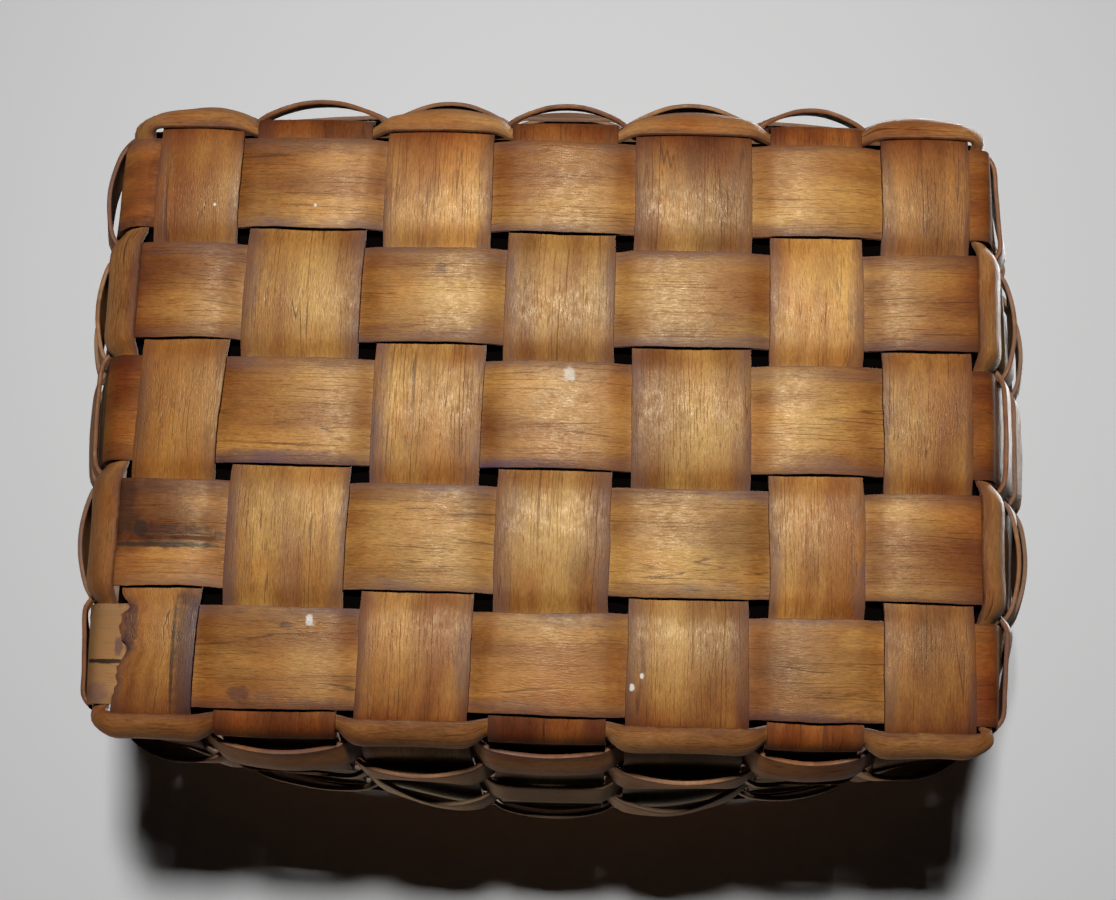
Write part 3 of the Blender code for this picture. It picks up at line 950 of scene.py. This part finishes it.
# %% Finish the weavers, hoops and lashing
# The first row of weavers, which catches the light at the base edge, is paler, and the second row, in the
# shade below it, is darker than the others: painted light and painted shade on the same wood.
painted_light_weaver_tones = {
    0: ((0.62, 0.38, 0.160), (0.42, 0.215, 0.085)), 1: ((0.44, 0.21, 0.070), (0.29, 0.115, 0.036))}
for row, strip in enumerate(weaver_strips):
    pale, deep = painted_light_weaver_tones.get(row, ((0.50, 0.24, 0.078), (0.33, 0.13, 0.040)))
    varnish_strip(
        strip, f"weaver_{row + 1}_wood", row + 31, pale, deep, edge_amount=0.8, gloss=0.25, wall_fade_and_painted_fill=0.35,
        marks=marks_of.get(("weaver", row), ()))
for seed, strip in ((51, inner_hoop), (52, outer_hoop)):
    varnish_strip(
        strip, f"{strip.name}_wood", seed, (0.46, 0.24, 0.08), (0.30, 0.125, 0.035),
        gloss=0.35, wall_fade_and_painted_fill=0.3)
varnish_strip(
    lashing, "lashing_wood", 61, (0.52, 0.30, 0.12), (0.38, 0.19, 0.065),
    edge_amount=0.5, gloss=0.35, wall_fade_and_painted_fill=0.2)
print("materials:", len(bpy.data.materials))

# %% [markdown]
# ## Ground and backdrop
#
# The basket stands on a pale ground, which shows only from above. The photograph looks at the base
# with the mouth on a pale surface, so a backdrop lies past the rim that shows only from below and
# takes the shadow. Neither stops the lamps. Dark sheets in the mouth and just over the base keep the
# inside dark when one looks up through the weave, as it is when the basket stands on its mouth.

# %% One-sided stage sheets
def camera_only(piece):
    """Make a piece that only cameras see: it stops no light and throws none back."""
    piece.visible_shadow = piece.visible_diffuse = False
    piece.visible_glossy = piece.visible_transmission = False


def stage_sheet(name, points, height, colour, faces_up=False):
    """A flat sheet that cameras see from one side only. If it faces down, it hides at low angles too."""
    mesh = bpy.data.meshes.new(name)
    order = points if faces_up else points[::-1]
    mesh.from_pydata([(x, y, height) for x, y in order], [], [list(range(len(order)))])
    sheet = bpy.data.objects.new(name, mesh)
    scene.collection.objects.link(sheet)
    mesh.materials.append(new_material(name + "_finish"))
    tree.nodes.remove(tree.nodes["Principled BSDF"])
    plain = put("BsdfDiffuse", {"Color": (*colour, 1)})
    clear = put("BsdfTransparent")
    hidden = put("NewGeometry").outputs["Backfacing"]
    if not faces_up:
        grazing = put("LayerWeight", {"Blend": 0.5}).outputs["Facing"]
        hidden = maths("MAXIMUM", hidden, maths("GREATER_THAN", grazing, 0.5))
    mix = put("MixShader", {0: hidden, 1: plain.outputs[0], 2: clear.outputs[0]})
    feed(tree.nodes["Material Output"], {"Surface": mix.outputs[0]})
    camera_only(sheet)


def rectangle(half_x, half_y):
    """Corners of a rectangle."""
    return [(-half_x, -half_y), (half_x, -half_y), (half_x, half_y), (-half_x, half_y)]


def rim_outline(corners=96):
    """The outline of the outer hoop, as a superellipse."""
    out = wall_profile(wall_length)[0] + hoop_offset + hoop_thickness / 2
    outline = []
    for count in range(corners):
        angle = math.tau * count / corners
        along, across = math.cos(angle), math.sin(angle)
        reach = (abs(along) ** (1 / rim_squareness) + abs(across) ** (1 / rim_squareness)) ** rim_squareness
        outline.append(((base_half_length + out) * along / reach, (base_half_width + out) * across / reach))
    return outline


# %% Place the sheets
rim_height = cad_high.z + 0.3 * mm
backdrop_height = rim_height + 18 * mm
inside = rectangle(base_half_length + 1.2 * mm, base_half_width + 1.0 * mm)
darkness = (0.003, 0.002, 0.002)
stage_sheet("ground", rectangle(2, 2), 0, (0.66, 0.66, 0.655), faces_up=True)
stage_sheet("backdrop", rectangle(0.18, 0.155), backdrop_height, (0.93, 0.93, 0.93))
stage_sheet("mouth_shade", rim_outline(), rim_height - 0.2 * mm, darkness)
stage_sheet("inner_shade", inside, 2.6 * mm, darkness)
print("the backdrop hangs at", round(backdrop_height / mm, 1), "mm")

# %% [markdown]
# ## Far wall, lamps and world
#
# The side views see a pale wall far behind. A small key lamp makes the light and the shadow of the
# photograph, from below and through the ground. Two large soft lamps and the world light all other
# views from above. The lamps' light ends at the first surface it meets, because what the wall threw
# back turned the shadow brown. The front lamp gives no gloss, because its gloss turned the wall grey.

# %% Pale wall far behind
pick_nothing()
bpy.ops.mesh.primitive_cylinder_add(vertices=96, radius=1.2, depth=4, end_fill_type="NOTHING")
far_wall = bpy.context.active_object
far_wall.name = far_wall.data.name = "far_wall"
far_wall.data.materials.append(new_material("far_wall_finish"))
tree.nodes.remove(tree.nodes["Principled BSDF"])
glow = put("Emission", {"Color": (0.57, 0.57, 0.57, 1)})
feed(tree.nodes["Material Output"], {"Surface": glow.outputs[0]})
camera_only(far_wall)

# %% Lamps
def soft_lamp(name, place, aim, size, power):
    """A square area lamp that points at a place, and whose light ends at the first surface it meets."""
    lamp = bpy.data.objects.new(name, bpy.data.lights.new(name, "AREA"))
    lamp.data.shape, lamp.data.size, lamp.data.energy = "SQUARE", size, power
    lamp.data.cycles.max_bounces = 0
    lamp.location = place
    lamp.rotation_euler = (Vector(aim) - Vector(place)).to_track_quat("-Z", "Y").to_euler()
    scene.collection.objects.link(lamp)
    return lamp


soft_lamp("key_at_the_base", (-0.002, 0.054, -0.24), (0, 0, 0.01), 0.022, 0.64)
soft_lamp("overhead_front", (0.85, -0.85, 1.45), (0, 0, 0.02), 1.2, 25.0).visible_glossy = False
soft_lamp("overhead_back", (-0.85, 0.85, 1.45), (0, 0, 0.02), 1.2, 25.0)
print("lamps:", len(bpy.data.lights))

# %% World
scene.world = bpy.data.worlds.new("studio")
scene.world.use_nodes = True
tree = scene.world.node_tree
height = split_up(put("TexCoord").outputs["Generated"])["Z"]
sky = blend("MIX", limits(height, 0.2, 0.7), (0.003, 0.003, 0.003, 1), (0.15, 0.15, 0.15, 1))
feed(tree.nodes["Background"], {"Color": sky, "Strength": 1.0})

# %% [markdown]
# ## Camera
#
# The camera was worked out from the corners of the weave's holes in the photograph. It looks up at the
# base from 160 mm away, and its lens comes from a focal length in picture points.

# %% Camera
focal_pixels, photo_width, photo_height, sensor_width = 1600.0, 1116, 900, 36
yaw, tilt, roll = (math.radians(angle) for angle in (1.5, 8.6, 1.41))
camera_distance, aim_across, aim_down = 0.1601, 550.9, 420.5
forward = Vector((math.sin(yaw), math.sin(tilt), math.cos(tilt) * math.cos(yaw))).normalized()
right = forward.cross(Vector((0, 1, 0))).normalized()
up = right.cross(forward)
right, up = right * math.cos(roll) + up * math.sin(roll), up * math.cos(roll) - right * math.sin(roll)
shift_across, shift_down = aim_across - photo_width / 2, aim_down - photo_height / 2
aim = forward + right * shift_across / focal_pixels - up * shift_down / focal_pixels
camera = bpy.data.objects.new("camera", bpy.data.cameras.new("camera"))
camera.data.sensor_width = sensor_width
camera.data.lens = sensor_width * focal_pixels / photo_width
camera.data.clip_start, camera.data.clip_end = 0.01, 20
turned = Matrix((right, up, -forward)).transposed().to_4x4()
camera.matrix_world = Matrix.Translation(-aim * camera_distance) @ turned
scene.collection.objects.link(camera)
scene.camera = camera
scene.view_settings.view_transform = "Standard"
print("camera at", [round(value * 1000, 1) for value in camera.location], "mm")
